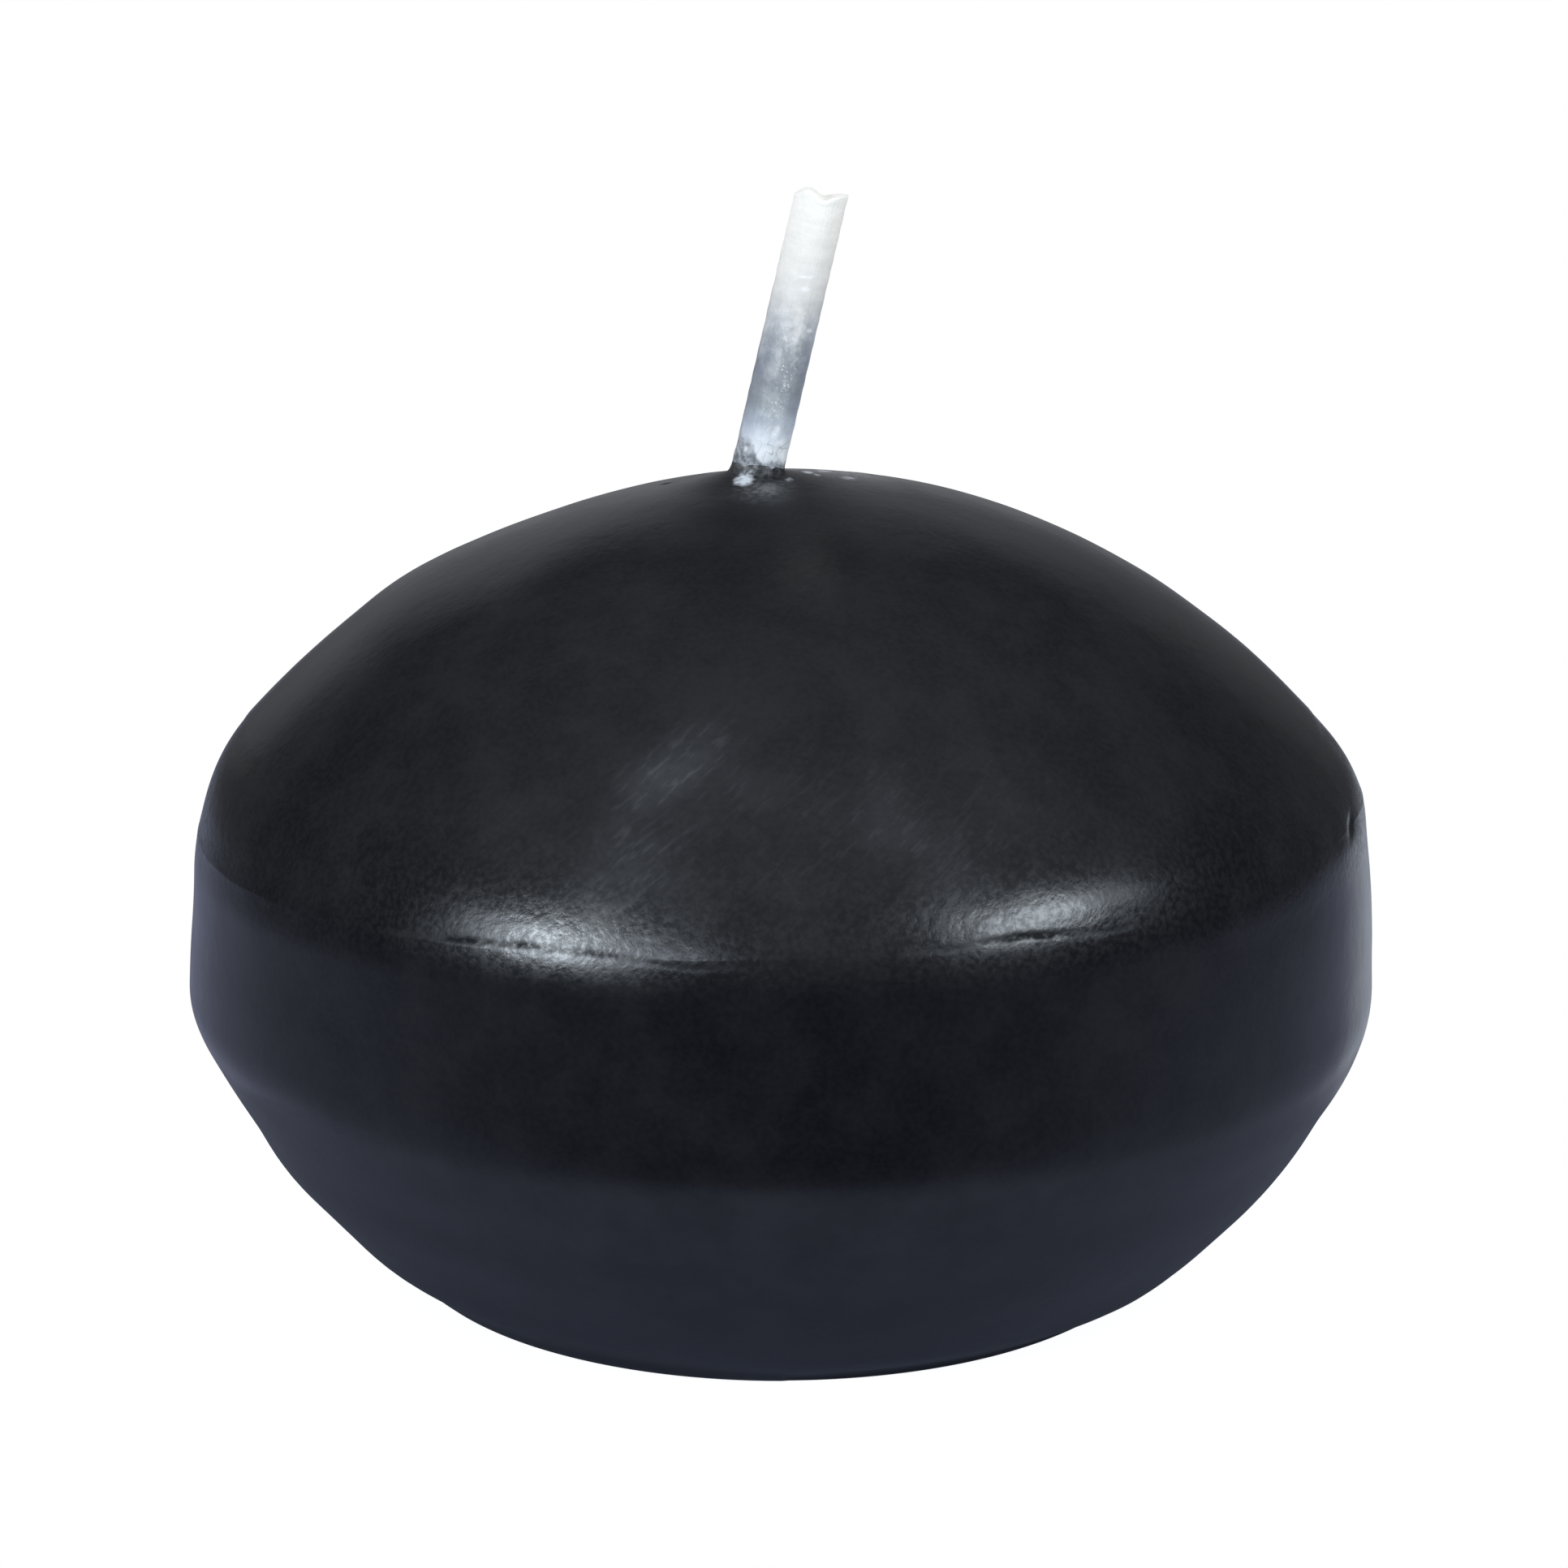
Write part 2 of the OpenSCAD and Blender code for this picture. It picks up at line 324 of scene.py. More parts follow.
body = {
    "steps": 360,
    "boreRadius": 1.62, "boreTop": 49.0,
    # recess and space for the sustainer's neck
    "recessRadius": 7.3, "recessDepth": 0.9,
    "neckRadius": 2.07, "neckTop": 5.0, "neckFoot": 1.5, "neckFlare": 0.6,
    "edgeCentre": (23.541, 1.5), "edgeRadius": 1.5,
    "bowlCentre": (4.259, 29.670), "bowlRadius": 35.637, "bowlStart": -55.61, "bowlEnd": -21.23,
    "cornerCentre": (31.420, 19.121), "cornerRadius": 6.5,
    # the band: radius and height of the corner below it, and its slope
    "bandCorner": (38, 18.2), "bandDraft": 4.0,
    "lipCentre": (27.350, 27.1435), "lipRadius": 10.0, "lipStart": 27.85,
    "seamHeight": 30.3, "seamSlope": 18.4,
    # rise of the seam from the axis to its right end, where that fades out below and above, and its wandering
    "seamRise": 1.13, "riseStart": 19.6, "riseReach": 4.0,
    "seamWander": ((0.10, 7.0, 0.0), (0.05, 2.2, 3.0)),
    # rows of the mesh are this close from 14 rows below the seam to 7 rows above it
    "seamRow": 0.06,
    "shoulderCentre": (23.395, 25.723), "shoulderRadius": 14.5,
    "crownCentre": 5.718, "crownRadius": 45.282, "crownStart": 40.53,
    "lipPull": 0.315, "pullReach": 4.5,
    "grooveWidth": 0.19, "grooveDepth": 0.020,
    # wax drawn up round the wick: distance from the wick's axis, height above the crown
    "collar": [
        (1.69, 1.10), (1.71, 0.90), (1.75, 0.72), (1.82, 0.57), (1.96, 0.46), (2.3, 0.36), (2.9, 0.24), (3.6, 0.13),
        (4.3, 0.05), (5.0, 0.0)],
    # it climbs higher on the left of the wick than on the right
    "collarLeft": 0.12, "collarRight": 0.25,
    # unevenness of the cast surface and of the wax round the wick: height, size, shift
    "surfaceRipples": ((0.05, 11.0, 0.0), (0.018, 4.0, 2.0), (0.004, 1.3, 4.0)),
    "collarRipples": ((0.07, 0.8, 6.0), (0.03, 0.35, 8.0)),
    # splashes of wax on the right of the wick
    "splash": {"centre": (2.8, 4.2, 50.7), "reach": 3.2, "height": 0.10, "size": 0.9},
    # how far the cast surface strays from a true round, in mm, by height: on its left and on its right
    "leftDrift": [
        (0.0, 0.05), (0.5, -0.04), (1.2, -0.18), (3.2, -0.06), (5.2, -0.20), (6.8, -0.22), (8.5, -0.14),
        (9.7, -0.17), (11.5, -0.34), (13.5, -0.30), (15.5, -0.18), (17.2, -0.01), (18.5, 0.12), (20.0, 0.16),
        (22.0, 0.16), (24.0, 0.11), (26.0, 0.10), (27.5, 0.12), (29.0, 0.11), (30.0, 0.17), (31.5, 0.31),
        (33.0, 0.37), (34.5, 0.33), (36.0, 0.20), (37.5, 0.11), (39.5, 0.08), (41.5, 0.11), (43.4, 0.26),
        (45.0, 0.13), (46.0, -0.01), (47.0, -0.11), (48.0, -0.17), (48.8, -0.15), (49.4, -0.13), (50.0, -0.10),
        (50.5, -0.06)],
    "rightDrift": [
        (0.0, -0.34), (0.7, -0.20), (1.4, 0.0), (2.3, 0.20), (3.1, 0.18), (5.2, 0.11), (7.2, 0.15), (9.3, 0.16),
        (10.4, 0.13), (12.4, 0.04), (14.0, 0.15), (15.5, 0.19), (17.5, 0.08), (19.0, 0.02), (21.0, 0.07),
        (23.0, 0.15), (25.0, 0.18), (26.5, 0.15), (27.6, 0.10), (28.8, 0.04), (30.4, -0.02), (31.5, -0.14),
        (33.0, -0.18), (35.0, -0.18), (37.5, -0.09), (39.5, -0.05), (41.5, -0.09), (43.5, -0.06), (45.0, -0.08),
        (47.0, -0.06), (48.8, 0.02), (49.5, 0.05), (50.5, 0.06)],
    # compass angle of the middle of each drift, from the front, by height
    "driftAngle": [
        (0.8, 32), (2.2, 45), (5.0, 54), (9.0, 60), (15.0, 67), (20.0, 76), (32.0, 81), (40.0, 91), (48.0, 103),
        (50.5, 110)],
    # how marked the seam is, by compass angle from the front
    "grooveOpen": [
        (-180, 0.4), (-100, 0.3), (-75, 0.05), (-50, 0.1), (-38, 0.4), (-34, 0.9), (-27, 1.0), (-22, 0.5),
        (-18, 0.3), (-13, 0.75), (-9, 0.8), (-5, 0.4), (0, 0.05), (4, 0.0), (11, 0.3), (18, 1.0), (27, 0.9),
        (34, 0.2), (60, 0.1), (100, 0.3), (180, 0.4)],
    # how far its dark line strays from the seam in mm, by compass angle
    "lineShift": [
        (-180, 0.0), (-45, 0.0), (-34, 0.18), (-27, 0.32), (-20, 0.27), (-14, 0.05), (-10, -0.30), (-5, -0.45),
        (2, -0.30), (10, 0.0), (16, 0.02), (20.5, 0.17), (24, 0.05), (29, -0.30), (36, -0.20), (46, 0.0),
        (180, 0.0)],
    # how sharp the edge of the lip under the seam is, by compass angle: round in front and sharp at the back
    "lipFill": [
        (-180, 1.0), (-110, 1.0), (-86, 0.6), (-60, 0.5), (-40, 0.35), (-29, 0.25), (-22, 0.0), (-14, 0.0),
        (-9, 0.25), (0, 0.30), (8, 0.15), (14, 0.0), (42, 0.0), (60, 0.45), (72, 0.55), (84, 1.0), (180, 1.0)],
    # a small nick beside the seam's right end: how far it leans backwards as it rises, and its depth
    "nick": {"centre": (34.7, -11.7, 31.42), "size": (0.8, 0.66, 0.50), "lean": 1.3, "depth": 0.13},
}


def crownHeight(x, y):
    return body["crownCentre"] + math.sqrt(body["crownRadius"] ** 2 - x * x - y * y)


def bodySection():
    # half section in mm, as (distance from the axis, height), from the wick's bore round the outside and back
    bore, collar, neck = body["boreRadius"], body["collar"], body["neckRadius"]
    recess, roof = body["recessRadius"], body["recessDepth"]
    points = linePoints((bore, body["boreTop"]), (bore, body["neckTop"]), 8)
    points += linePoints((neck, body["neckTop"]), (neck, body["neckFoot"]), 4)
    points += linePoints((neck + body["neckFlare"], roof), (recess, roof), 5)
    points += linePoints((recess, 0), (body["edgeCentre"][0], 0), 14)
    points += arcPoints(body["edgeCentre"], body["edgeRadius"], -90, body["bowlStart"], 7)[1:]
    points += arcPoints(body["bowlCentre"], body["bowlRadius"], body["bowlStart"], body["bowlEnd"], 38)[1:]
    points += arcPoints(body["cornerCentre"], body["cornerRadius"], body["bowlEnd"], body["bandDraft"], 12)[1:]
    lip = arcPoints(body["lipCentre"], body["lipRadius"], body["bandDraft"], body["seamSlope"], 18)
    points += linePoints(points[-1], lip[0], 16)[1:]
    # the coarser rows keep clear of the fine ones
    seam, row = body["seamHeight"], body["seamRow"]
    points += [point for point in lip[1:] if point[1] < seam - 0.86]
    points += [(lipRadiusAt(z), z) for z in [seam + row * k for k in range(-14, 1)]]
    points += [(shoulderRadiusAt(z), z) for z in [seam + row * k for k in range(1, 8)]]
    shoulder = arcPoints(body["shoulderCentre"], body["shoulderRadius"], body["seamSlope"], body["crownStart"], 27)
    points += [(r - pullAt(z), z) for r, z in shoulder if z > seam + 0.46]
    crownEnd = math.degrees(math.acos(collar[-1][0] / body["crownRadius"]))
    points += arcPoints((0, body["crownCentre"]), body["crownRadius"], body["crownStart"], crownEnd, 62)[1:]
    collarRows = 28
    for k in range(1, collarRows + 1):
        share = k / collarRows
        reach = collar[-1][0] + (collar[0][0] - collar[-1][0]) * (1 - (1 - share) ** 1.6)
        points.append((reach, crownHeight(reach, 0) + readTable(collar, reach)))
    top = points[-1][1]
    points += linePoints((bore, top + 0.01), (bore, body["boreTop"] + 1), 5)
    return points


def pullAt(z):
    return body["lipPull"] * bell(z - body["seamHeight"], body["pullReach"])


def shoulderRadiusAt(z):
    x, y = body["shoulderCentre"]
    return x + math.sqrt(body["shoulderRadius"] ** 2 - (z - y) ** 2) - pullAt(z)


def bandRadiusAt(z):
    radius, height = body["bandCorner"]
    return radius - (z - height) * math.tan(math.radians(body["bandDraft"]))


def lipRadiusAt(z):
    x, y = body["lipCentre"]
    return x + math.sqrt(body["lipRadius"] ** 2 - (z - y) ** 2)


def shiftSeam(vert, seamLine):
    # the seam runs a little downhill to the left, and wanders
    x, y, z = vert.co
    r = math.hypot(x, y)
    seam = body["seamHeight"]
    above = z > seam
    compass = math.degrees(math.atan2(x, -y))
    wander = ripples((x, y, 0), body["seamWander"])
    fade = bell(z - seam, body["riseReach"]) if above else smooth(z, body["riseStart"], seam)
    rise = (body["seamRise"] * x / r + wander) * fade
    fill = pullAt(z) if above else (bandRadiusAt(z) - lipRadiusAt(z) if z > body["lipStart"] else 0)
    fill *= readTable(body["lipFill"], compass)
    mark = readTable(body["grooveOpen"], compass) * max(0.8 + 1.1 * ripple((x, y, 9), 2.4, 1.0), 0.05)
    mark *= bell(z - seam - readTable(body["lineShift"], compass), body["grooveWidth"])
    vert[seamLine] = min(mark, 1.0)
    slope = math.tan(math.radians(body["bandDraft"]))
    r2 = r + fill - rise * slope - mark * body["grooveDepth"]
    vert.co = (x * r2 / r, y * r2 / r, z + rise)


def shiftBore(vert):
    # the bore, the recess and the wax round the wick sit where the wick runs
    x, y, z = vert.co
    r = math.hypot(x, y)
    newX = x + axisAt(z) * (1 - smooth(r, 8, 20))
    if z > 40 and r > body["boreRadius"] + 0.01:
        across = math.cos(math.atan2(y, x))
        uneven = -body["collarLeft"] * across - body["collarRight"] * max(across, 0)
        lift = (z - crownHeight(r, 0)) * (1 + uneven * (1 - smooth(r, 3, 6)))
        z = crownHeight(newX, y) + lift
    vert.co = (newX + (courseShift(z) if z > 50 and r < 3 else 0), y, z)


def castPush(co):
    # how far the cast surface at this point strays outwards, in mm
    compass = math.degrees(math.atan2(abs(co.x), -co.y))
    away = abs(compass - readTable(body["driftAngle"], co.z))
    drift = readTable(body["leftDrift" if co.x < 0 else "rightDrift"], co.z)
    push = drift * smooth(away, 52, 14) * smooth(co.z, -0.01, 0.4)
    nick, splash = body["nick"], body["splash"]
    gap = co - Vector(nick["centre"])
    if gap.length < 4:
        gap.y -= nick["lean"] * gap.z
        push -= nick["depth"] * math.exp(-sum((g / w) ** 2 for g, w in zip(gap, nick["size"])))
    push += smooth(co.z, 0.0, 3.0) * ripples(co, body["surfaceRipples"])
    foot = math.hypot(co.x - axisAt(co.z), co.y)
    if co.z > 50 and foot > 1.75:
        push += ripples(co, body["collarRipples"]) * smooth(foot, 4.6, 2.2)
        lumps = 0.3 + ripple(co, splash["size"], 9.0)
        push += splash["height"] * lumps * bell((co - Vector(splash["centre"])).length, splash["reach"])
    return push


def makeBody(material):
    bm = bmesh.new()
    verts = [bm.verts.new((r, 0, z)) for r, z in bodySection()]
    edges = [bm.edges.new(pair) for pair in zip(verts, verts[1:] + verts[:1])]
    bmesh.ops.spin(bm, geom=verts + edges, cent=(0, 0, 0), axis=(0, 0, 1), dvec=(0, 0, 0),
                   angle=2 * math.pi, steps=body["steps"], use_merge=True, use_duplicate=False)
    bmesh.ops.remove_doubles(bm, verts=bm.verts, dist=0.0005)
    nickCentre = Vector(body["nick"]["centre"])
    near = [edge for edge in bm.edges if all((vert.co - nickCentre).length < 3.2 for vert in edge.verts)]
    bmesh.ops.subdivide_edges(bm, edges=near, cuts=2, use_grid_fill=True)
    seamLine = bm.verts.layers.float.new("seamLine")
    for vert in bm.verts:
        r, z = math.hypot(vert.co.x, vert.co.y), vert.co.z
        if r > 30 and z > body["riseStart"]:
            shiftSeam(vert, seamLine)
        elif r < 20 and (z > 40 or z < 0.1 or r < 8):
            shiftBore(vert)
    bmesh.ops.recalc_face_normals(bm, faces=bm.faces)
    bm.normal_update()
    pushes = []
    for vert in bm.verts:
        # the flat of the base and the recess stay true
        reach = math.hypot(vert.co.x, vert.co.y)
        outside = reach > 7.6 and (vert.co.z > 0.02 or reach > 22)
        pushes.append(castPush(vert.co) if outside else 0.0)
    for vert, push in zip(bm.verts, pushes):
        if push:
            vert.co += vert.normal * push
    finishPiece(bm, "waxBody", "wax_body", material)


wick = {
    "x": -1.4,
    "radius": 1.65,
    "sides": 96,
    "bendStart": 51.0, "bendRadius": 4.0, "lean": 13.1,
    # it wanders a little to the left on its way up through the wax, between these heights
    "wander": -0.17, "wanderStart": 30, "wanderEnd": 46,
    "length": 18.6,
    "rowGap": 0.14,
    # heights of the rows inside the wax
    "hiddenRows": (0.62, 10, 20, 30, 34, 38, 42, 46, 49, 50),
    # ridges of the braid: height, number round the wick, turn per mm; and lumps of wax: height, size, shift
    "braidHeight": 0.018, "braidRidges": 4, "braidTurn": 2.4,
    "lumps": ((0.03, 1.5, 0.0), (0.012, 0.5, 3.0)),
    # the cut is nearly level, so it leans against the wick: a lump on the left, a dip, and a corner on the right
    "cutLevel": -0.46, "cutSlope": 0.21, "cutDepth": 1.2,
    "cutLumps": ((-0.85, 0.60, 0.41), (0.25, 0.45, -0.22)),
    "cutRipples": ((0.05, 0.6, 0.0), (0.03, 0.25, 2.0)),
    "capSteps": (0.18, 0.22, 0.24, 0.26, 0.26, 0.24),
}


def axisAt(z):
    # where the wick's hole in the wax runs
    return wick["x"] + wick["wander"] * smooth(z, wick["wanderStart"], wick["wanderEnd"])


def courseShift(z):
    # how far the wick's axis has moved towards +X at height z
    rise = z - wick["bendStart"]
    if rise <= 0:
        return 0.0
    lean = math.radians(wick["lean"])
    bendRise = wick["bendRadius"] * math.sin(lean)
    if rise < bendRise:
        return wick["bendRadius"] - math.sqrt(wick["bendRadius"] ** 2 - rise ** 2)
    return wick["bendRadius"] * (1 - math.cos(lean)) + (rise - bendRise) * math.tan(lean)


def wickStations():
    # (distance along the exposed wick, point on the axis, lean) from inside the wax to the cut end
    lean = math.radians(wick["lean"])
    bend = wick["bendRadius"] * lean
    foot = axisAt(wick["bendStart"])
    stations = [(z - wick["bendStart"], Vector((axisAt(z), 0, z)), 0.0) for z in wick["hiddenRows"]]
    count = int(wick["length"] / wick["rowGap"])
    for k in range(count + 1):
        s = wick["length"] * k / count
        if s < bend:
            angle = s / wick["bendRadius"]
            point = Vector((foot + wick["bendRadius"] * (1 - math.cos(angle)), 0,
                            wick["bendStart"] + wick["bendRadius"] * math.sin(angle)))
        else:
            angle = lean
            point = Vector((foot + wick["bendRadius"] * (1 - math.cos(lean)) + (s - bend) * math.sin(lean), 0,
                            wick["bendStart"] + wick["bendRadius"] * math.sin(lean) + (s - bend) * math.cos(lean)))
        stations.append((s, point, angle))
    return stations


def wickRadius(s, turn):
    # a braid whose ridges are filled with wax, with small lumps that are largest low down
    if s <= 0:
        return wick["radius"]
    ridges = wick["braidRidges"] * turn
    braid = wick["braidHeight"] * math.sin(ridges + s * wick["braidTurn"]) * math.sin(ridges - s * wick["braidTurn"])
    around = Vector((math.cos(turn), math.sin(turn), 0)) * wick["radius"] + Vector((0, 0, s))
    return wick["radius"] + (braid + ripples(around, wick["lumps"]) * (1.6 - smooth(s, 1.0, 7.0)))


def cutEnd(x, y):
    # how far the cut stands above a square end
    rise = wick["cutLevel"] + wick["cutSlope"] * x
    for centre, width, height in wick["cutLumps"]:
        rise += height * bell(x - centre, width)
    return rise + ripples((x, y, 0), wick["cutRipples"])


def makeWick(material):
    bm = bmesh.new()
    stations = wickStations()
    ring = bmesh.ops.create_circle(bm, cap_ends=False, radius=wick["radius"], segments=wick["sides"])["verts"]
    bmesh.ops.translate(bm, vec=stations[0][1], verts=ring)
    bottom = list(bm.edges)
    rows, last = [list(ring)], bottom
    for (_, start, startLean), (_, end, endLean) in zip(stations, stations[1:]):
        made = bmesh.ops.extrude_edge_only(bm, edges=last)["geom"]
        ring = [g for g in made if isinstance(g, bmesh.types.BMVert)]
        last = [g for g in made if isinstance(g, bmesh.types.BMEdge) and all(v in ring for v in g.verts)]
        bmesh.ops.translate(bm, vec=end - start, verts=ring)
        if endLean != startLean:
            bmesh.ops.rotate(bm, cent=end, matrix=Matrix.Rotation(endLean - startLean, 3, "Y"), verts=ring)
        rows.append(ring)
    bmesh.ops.contextual_create(bm, geom=bottom)
    cap = bmesh.ops.contextual_create(bm, geom=last)["faces"]
    for amount in wick["capSteps"]:
        bmesh.ops.inset_region(bm, faces=cap, thickness=amount, use_even_offset=False)
    bmesh.ops.poke(bm, faces=cap)
    top = stations[-1][1]
    upright = Matrix.Rotation(-math.radians(wick["lean"]), 3, "Y")
    along = Matrix.Rotation(math.radians(wick["lean"]), 3, "Y") @ Vector((0, 0, 1))
    for (s, point, lean), ring in zip(stations, rows):
        back = Matrix.Rotation(-lean, 3, "Y")
        for vert in ring:
            flat = back @ (vert.co - point)
            turn = math.atan2(flat.y, flat.x)
            vert.co = point + (vert.co - point) * (wickRadius(s, turn) / wick["radius"])
    for vert in bm.verts:
        flat = upright @ (vert.co - top)
        if flat.z > -wick["cutDepth"] and vert.co.z > 60:
            vert.co += along * cutEnd(flat.x, flat.y) * smooth(flat.z, -wick["cutDepth"], 0.0)
    finishPiece(bm, "waxedWick", "wick", material)


wickLook = {
    # colour by height above the foot, as a share of the spread; both are in m; the paler stops just above the foot
    # paint in a highlight on the glossy wax there
    "footHeight": 0.0510, "spread": 0.0190,
    "stops": [
        (0.0, (0.50, 0.54, 0.60)), (0.068, (0.66, 0.71, 0.76)), (0.11, (0.76, 0.81, 0.86)),
        (0.19, (0.60, 0.65, 0.72)), (0.274, (0.35, 0.375, 0.39)), (0.345, (0.33, 0.350, 0.375)),
        (0.415, (0.43, 0.450, 0.47)), (0.516, (0.64, 0.645, 0.65)), (0.60, (0.69, 0.690, 0.675)),
        (0.68, (0.745, 0.740, 0.72)), (0.845, (0.82, 0.805, 0.77)), (0.926, (0.87, 0.860, 0.83))],
    # a point on the wick's axis in m, and how far the axis leans per m of height
    "axisX": 0.001466, "axisHeight": 0.05191, "axisSlope": 0.2327,
    # heights in m where the wax-soaked part ends above and below, and where the dry part starts
    "soakedTop": (0.0640, 0.0585), "soakedFoot": (0.0525, 0.0555), "dryZone": (0.0600, 0.0680),
    "shadeColour": (0.64, 0.67, 0.73, 1),
    "mottleColour": (0.18, 0.21, 0.25, 1),
    "fleckGlintColour": (0.82, 0.85, 0.88, 1),
    "wrapColour": (0.45, 0.46, 0.48, 1),
    "creaseShadeColour": (0.36, 0.37, 0.36, 1),
    "creaseSpot": ((-0.4, -1.4, 52.9), (2.1, 2.4, 1.5)), "creaseShare": 0.75,
    # black wax that has crept up the foot: heights in m where it ends, and how much higher it goes on the left
    "filmZone": (0.05240, 0.05185), "filmClimb": 0.00170,
    "filmColour": (0.135, 0.145, 0.165, 1),
    # painted highlights: bright smears low on the wick, where its glossy wax catches light, and glints higher up:
    # centre, size in mm, turn in degrees, strength
    "highlightSmears": [
        ((-0.35, -1.5, 54.15), (0.30, 0.9, 0.60), 25, 0.80), ((-0.05, -1.5, 53.45), (0.50, 0.9, 0.30), -20, 0.75),
        ((-1.1, -1.5, 52.95), (0.60, 0.9, 0.42), 10, 0.45), ((0.10, -1.2, 52.55), (0.55, 0.9, 0.60), 0, 0.90),
        ((-2.33, -1.5, 53.05), (0.26, 0.6, 0.32), 20, 0.9), ((1.50, -1.3, 63.80), (0.85, 0.9, 0.16), 0, 0.90),
        ((1.40, -1.3, 63.05), (0.50, 0.9, 0.26), 0, 0.60), ((1.75, -1.3, 60.4), (0.45, 0.9, 0.25), 15, 0.50),
        ((0.85, -1.3, 60.0), (0.30, 0.9, 0.40), 25, 0.55),
    ],
    "smearHighlightColour": (0.90, 0.92, 0.95, 1),
    "ior": 1.44, "gloss": 0.5, "dryDulling": 0.45, "dryRoughening": 0.4,
    "bumpStrength": 0.45, "bumpDepth": 0.0001,
}


def makeWickMaterial():
    material, tree, shader = newMaterial("waxedCotton")
    place = addNode(tree, "ShaderNodeTexCoord").outputs["Object"]
    parts = addNode(tree, "ShaderNodeSeparateXYZ", {0: place}).outputs
    height = parts[2]
    slant = (0, wick["lean"], 0)
    blotch = noisy(tree, place, (0.9, 0.9, 1.1), 4.0, 0.6)
    uneven = minus(tree, blotch, 0.5)
    specks = noisy(tree, place, (0.34, 0.34, 0.30), 3.0, 0.6)
    wraps = noisy(tree, place, (1.4, 1.4, 0.28), 3.0, 0.6, slant)
    fibre = noisy(tree, place, (0.16, 0.16, 1.6), 2.0, 0.6, slant)
    folds = maths(tree, "ABSOLUTE", minus(tree, noisy(tree, place, (0.8, 0.8, 0.8), 1.0, 0.4), 0.5))
    flecks = ranged(tree, noisy(tree, place, (0.20, 0.20, 0.17), 1.0, 0.5), 0.60, 0.72)
    patches = ranged(tree, noisy(tree, place, (0.9, 0.9, 0.8), 2.0, 0.5, (0, 40, 0)), 0.42, 0.58)
    flecks = times(tree, flecks, patches)
    # sideways distance from the wick's axis, in m
    axis = times(tree, minus(tree, height, wickLook["axisHeight"]), wickLook["axisSlope"])
    aside = minus(tree, plus(tree, parts[0], wickLook["axisX"]), axis)

    ramp = addNode(tree, "ShaderNodeValToRGB")
    raised = minus(tree, plus(tree, height, times(tree, uneven, 0.0030)), wickLook["footHeight"])
    tree.links.new(maths(tree, "DIVIDE", raised, wickLook["spread"]), ramp.inputs[0])
    colours = ramp.color_ramp.elements
    while len(colours) < len(wickLook["stops"]):
        colours.new(0.5)
    for element, (position, colour) in zip(colours, wickLook["stops"]):
        element.position = position
        element.color = (*colour, 1)

    # the wax-soaked part is mottled; painted shade makes it darker and bluer at its sides, and painted glints make
    # it paler along its middle
    soaked = times(tree, ranged(tree, height, *wickLook["soakedTop"]), ranged(tree, height, *wickLook["soakedFoot"]))
    leftShade = times(tree, ranged(tree, aside, -0.0001, -0.0012), 0.9)
    sides = plus(tree, ranged(tree, aside, 0.0003, 0.0015), leftShade)
    shaded = addNode(tree, "ShaderNodeMix",
                     {0: times(tree, soaked, sides), 6: ramp.outputs[0], 7: wickLook["shadeColour"]},
                     data_type="RGBA", blend_type="MULTIPLY").outputs[2]
    mottled = times(tree, soaked, ranged(tree, blotch, 0.60, 0.40, 0.0, 0.50))
    colour = mixed(tree, mottled, shaded, wickLook["mottleColour"])
    # bright flecks along the middle of the wick are painted glints
    streak = times(tree, ranged(tree, aside, -0.0009, 0.0002), ranged(tree, aside, 0.0013, 0.0004))
    lit = times(tree, plus(tree, flecks, ranged(tree, specks, 0.50, 0.75, 0.0, 0.5)), streak)
    colour = mixed(tree, times(tree, lit, times(tree, soaked, 0.8)), colour, wickLook["fleckGlintColour"])
    colour = mixed(tree, ranged(tree, wraps, 0.35, 0.65, 0.10, 0.0), colour, wickLook["wrapColour"])
    # darker fold lines between the lumps low on the wick are painted shade
    lumpy = times(tree, softSpot(tree, place, *wickLook["creaseSpot"]), wickLook["creaseShare"])
    creaseShade = times(tree, ranged(tree, folds, 0.035, 0.008), lumpy)
    colour = mixed(tree, creaseShade, colour, wickLook["creaseShadeColour"])

    # black wax has crept up the foot, highest on the left
    line = plus(tree, height, times(tree, uneven, 0.0016))
    line = minus(tree, line, times(tree, ranged(tree, aside, 0.0004, -0.0013), wickLook["filmClimb"]))
    film = ranged(tree, line, *wickLook["filmZone"])
    film = times(tree, film, ranged(tree, specks, 0.40, 0.62, 0.97, 0.62))
    film = times(tree, film, ranged(tree, height, 0.0536, 0.0524, 0.72, 1.0))
    colour = mixed(tree, film, colour, wickLook["filmColour"])
    broken = ranged(tree, specks, 0.30, 0.60, 0.6, 1.2)
    for centre, size, turn, strength in wickLook["highlightSmears"]:
        smearHighlight = times(tree, softSpot(tree, place, centre, size, (0, turn, 0)), broken)
        colour = mixed(tree, times(tree, smearHighlight, strength, True), colour, wickLook["smearHighlightColour"])
    tree.links.new(colour, shader.inputs["Base Color"])

    dry = ranged(tree, height, *wickLook["dryZone"])
    rough = plus(tree, ranged(tree, blotch, 0.35, 0.65, 0.28, 0.46), times(tree, dry, wickLook["dryRoughening"]))
    tree.links.new(rough, shader.inputs["Roughness"])
    gloss = minus(tree, wickLook["gloss"], times(tree, dry, wickLook["dryDulling"]))
    tree.links.new(gloss, shader.inputs["Specular IOR Level"])
    shader.inputs["IOR"].default_value = wickLook["ior"]
    relief = plus(tree, times(tree, specks, 0.6), fibre)
    addBump(tree, shader, relief, wickLook["bumpStrength"], wickLook["bumpDepth"])
    return material


steelLook = {
    "dark": (0.50, 0.51, 0.53, 1), "light": (0.70, 0.71, 0.72, 1),
    "smoothest": 0.28, "roughest": 0.46,
    # grain of the blotches and of the drawn lines in mm along each axis
    "blotchSize": (2.5, 2.5, 2.5), "lineSize": (6.0, 0.12, 6.0),
    "bumpStrength": 0.2, "bumpDepth": 0.00002,
}


